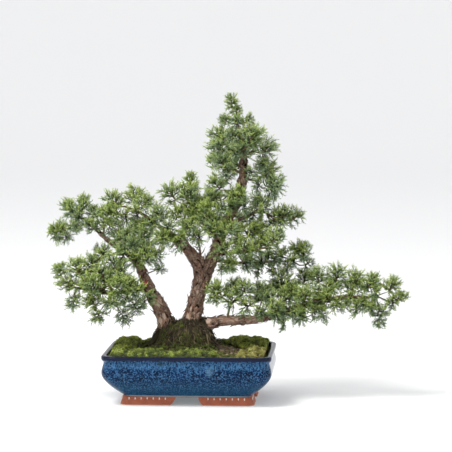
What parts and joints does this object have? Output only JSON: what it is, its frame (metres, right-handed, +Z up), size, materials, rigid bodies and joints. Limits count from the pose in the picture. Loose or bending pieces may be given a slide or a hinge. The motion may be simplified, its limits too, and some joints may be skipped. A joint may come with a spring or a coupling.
{
  "type": "kishu juniper bonsai",
  "caption": "Juniper bonsai with twin gnarled trunks, a long low branch and clouds of fine scale foliage, planted with moss in an oblong blue-glazed ceramic pot.",
  "frame": {"origin": "on the surface that the pot's feet stand on, under the middle of the whole tree's box, to the millimetre", "axes": "+Z up; +X along the pot's long side, towards the tip of the long low branch; the tree's front faces -Y"},
  "size_m": [0.4786, 0.1705, 0.4028],
  "materials": {
    "glaze": "gloss",
    "screen_plastic": "matte",
    "soil": "matte",
    "bark": "matte",
    "foliage": "matte",
    "moss_bright": "matte",
    "moss_green": "matte",
    "moss_olive": "matte"
  },
  "bodies": {
    "root": {"drain_screen_left": "screen_plastic", "drain_screen_right": "screen_plastic", "moss_back": "moss_green", "moss_front": "moss_green", "moss_front_left": "moss_green", "moss_left": "moss_bright", "moss_right": "moss_bright", "moss_right_front": "moss_olive", "pot": "glaze", "soil": "soil", "spray_back_canopy": "foliage", "spray_back_high": "foliage", "spray_back_right": "foliage", "spray_canopy_front": "foliage", "spray_canopy_left": "foliage", "spray_canopy_top": "foliage", "spray_crown_back": "foliage", "spray_crown_front": "foliage", "spray_crown_left_high": "foliage", "spray_crown_left_low": "foliage", "spray_crown_left_mid": "foliage", "spray_crown_right_high": "foliage", "spray_crown_right_mid": "foliage", "spray_crown_tip": "foliage", "spray_front_high": "foliage", "spray_left_back": "foliage", "spray_left_end": "foliage", "spray_left_mid": "foliage", "spray_left_ridge": "foliage", "spray_left_shade": "foliage", "spray_low_back": "foliage", "spray_low_end": "foliage", "spray_low_end_near": "foliage", "spray_low_far": "foliage", "spray_low_far_front": "foliage", "spray_low_middle": "foliage", "spray_low_near": "foliage", "spray_low_second": "foliage", "spray_low_third": "foliage", "spray_lower_left_back": "foliage", "spray_lower_left_low": "foliage", "spray_lower_left_mid": "foliage", "spray_lower_left_near": "foliage", "spray_lower_left_tip": "foliage", "spray_lower_left_top": "foliage", "spray_mid_right": "foliage", "spray_mid_right_near": "foliage", "spray_right_lower": "foliage", "spray_right_upper": "foliage", "spray_upper_left": "foliage", "wood": "bark"}
  },
  "joints": []
}
